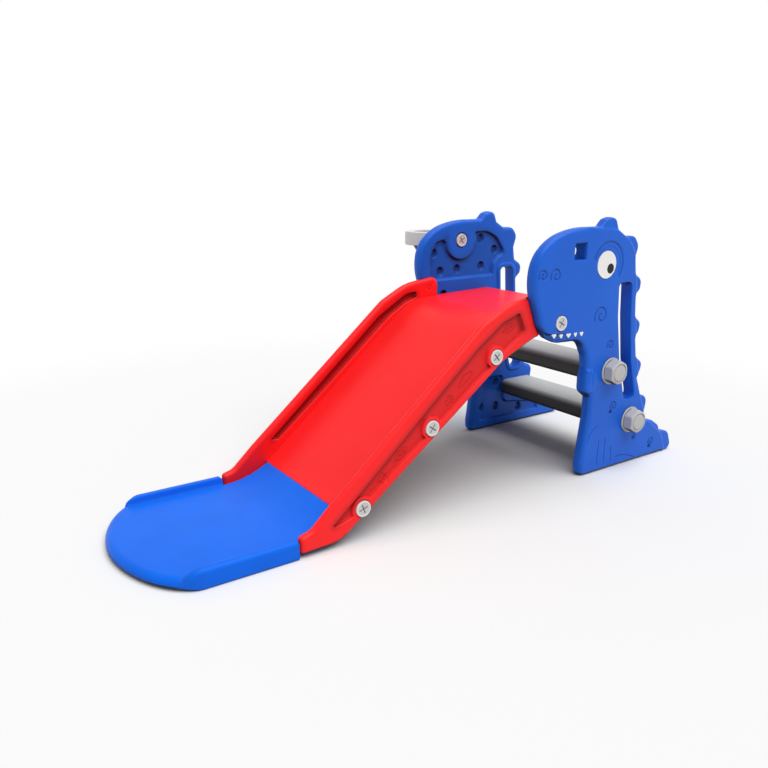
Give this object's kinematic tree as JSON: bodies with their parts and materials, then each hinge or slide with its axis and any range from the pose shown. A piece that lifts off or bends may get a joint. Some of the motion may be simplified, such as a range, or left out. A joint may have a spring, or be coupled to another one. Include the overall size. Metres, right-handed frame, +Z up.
{
  "type": "toddler slide",
  "caption": "Free-standing toddler slide: dinosaur-shaped side panels joined by steps, a platform and chute between rails, a rounded run-out and a hoop at one side.",
  "frame": {"origin": "on the floor, in the middle of the run-out's flat underside, on the mid-plane between the side panels", "axes": "+X along the slide from the run-out to the ladder, +Y across it to the hoop's side (the sliding child's right), +Z up"},
  "size_m": [1.5966, 0.7316, 0.7067],
  "materials": {
    "blue_panel": "satin blow-moulded polyethylene",
    "blue_runout": "satin blow-moulded polyethylene",
    "red_chute": "satin blow-moulded polyethylene",
    "grey_step": "fine-textured polyethylene",
    "pale_grey": "smooth injection-moulded plastic",
    "dark_grey": "smooth injection-moulded plastic",
    "white_inlay": "smooth",
    "black_inlay": "smooth",
    "zinc_steel": "zinc plated"
  },
  "bodies": {
    "slide_frame": {"chute_board": "red_chute", "hoop_bolt": "pale_grey", "hoop_collar": "dark_grey", "hoop_insert": "zinc_steel", "hoop_ring": "pale_grey", "left_eye_pupil": "black_inlay", "left_eye_white": "white_inlay", "left_panel_insert": "zinc_steel", "left_panel_screw": "pale_grey", "left_rail": "red_chute", "left_rail_insert_1": "zinc_steel", "left_rail_insert_2": "zinc_steel", "left_rail_insert_3": "zinc_steel", "left_rail_screw_1": "pale_grey", "left_rail_screw_2": "pale_grey", "left_rail_screw_3": "pale_grey", "left_side_panel": "blue_panel", "left_tooth_1": "white_inlay", "left_tooth_2": "white_inlay", "left_tooth_3": "white_inlay", "left_tooth_4": "white_inlay", "left_tooth_5": "white_inlay", "lower_step": "grey_step", "right_eye_pupil": "black_inlay", "right_eye_white": "white_inlay", "right_panel_insert": "zinc_steel", "right_panel_screw": "pale_grey", "right_rail": "red_chute", "right_rail_insert_1": "zinc_steel", "right_rail_insert_2": "zinc_steel", "right_rail_insert_3": "zinc_steel", "right_rail_screw_1": "pale_grey", "right_rail_screw_2": "pale_grey", "right_rail_screw_3": "pale_grey", "right_side_panel": "blue_panel", "right_tooth_1": "white_inlay", "right_tooth_2": "white_inlay", "right_tooth_3": "white_inlay", "right_tooth_4": "white_inlay", "right_tooth_5": "white_inlay", "runout_board": "blue_runout", "upper_step": "grey_step"},
    "left_lower_washer": {"left_lower_washer": "pale_grey"},
    "left_lower_nut": {"left_lower_nut": "pale_grey"},
    "left_upper_washer": {"left_upper_washer": "pale_grey"},
    "left_upper_nut": {"left_upper_nut": "pale_grey"},
    "right_lower_washer": {"right_lower_washer": "pale_grey"},
    "right_lower_nut": {"right_lower_nut": "pale_grey"},
    "right_upper_washer": {"right_upper_washer": "pale_grey"},
    "right_upper_nut": {"right_upper_nut": "pale_grey"}
  },
  "joints": [
    {"name": "left_lower_washer_slide", "type": "slide", "parent": "slide_frame", "child": "left_lower_washer", "axis": [0, -1, 0], "range_m": [0, 0.0181]},
    {"name": "left_lower_nut_turn", "type": "hinge", "parent": "left_lower_washer", "child": "left_lower_nut", "pos_m": [1.225, -0.2546, 0.134], "axis": [0, -1, 0], "range_deg": [0, 1080]},
    {"name": "left_upper_washer_slide", "type": "slide", "parent": "slide_frame", "child": "left_upper_washer", "axis": [0, -1, 0], "range_m": [0, 0.0181]},
    {"name": "left_upper_nut_turn", "type": "hinge", "parent": "left_upper_washer", "child": "left_upper_nut", "pos_m": [1.123, -0.2546, 0.292], "axis": [0, -1, 0], "range_deg": [0, 1080]},
    {"name": "right_lower_washer_slide", "type": "slide", "parent": "slide_frame", "child": "right_lower_washer", "axis": [0, 1, 0], "range_m": [0, 0.0181]},
    {"name": "right_lower_nut_turn", "type": "hinge", "parent": "right_lower_washer", "child": "right_lower_nut", "pos_m": [1.225, 0.2546, 0.134], "axis": [0, 1, 0], "range_deg": [0, 1080]},
    {"name": "right_upper_washer_slide", "type": "slide", "parent": "slide_frame", "child": "right_upper_washer", "axis": [0, 1, 0], "range_m": [0, 0.0181]},
    {"name": "right_upper_nut_turn", "type": "hinge", "parent": "right_upper_washer", "child": "right_upper_nut", "pos_m": [1.123, 0.2546, 0.292], "axis": [0, 1, 0], "range_deg": [0, 1080]}
  ],
  "couplings": [
    {"joint": "left_lower_washer_slide", "follows": "left_lower_nut_turn", "m_per_rad": 0.00095493},
    {"joint": "left_upper_washer_slide", "follows": "left_upper_nut_turn", "m_per_rad": 0.00095493},
    {"joint": "right_lower_washer_slide", "follows": "right_lower_nut_turn", "m_per_rad": 0.00095493},
    {"joint": "right_upper_washer_slide", "follows": "right_upper_nut_turn", "m_per_rad": 0.00095493}
  ]
}
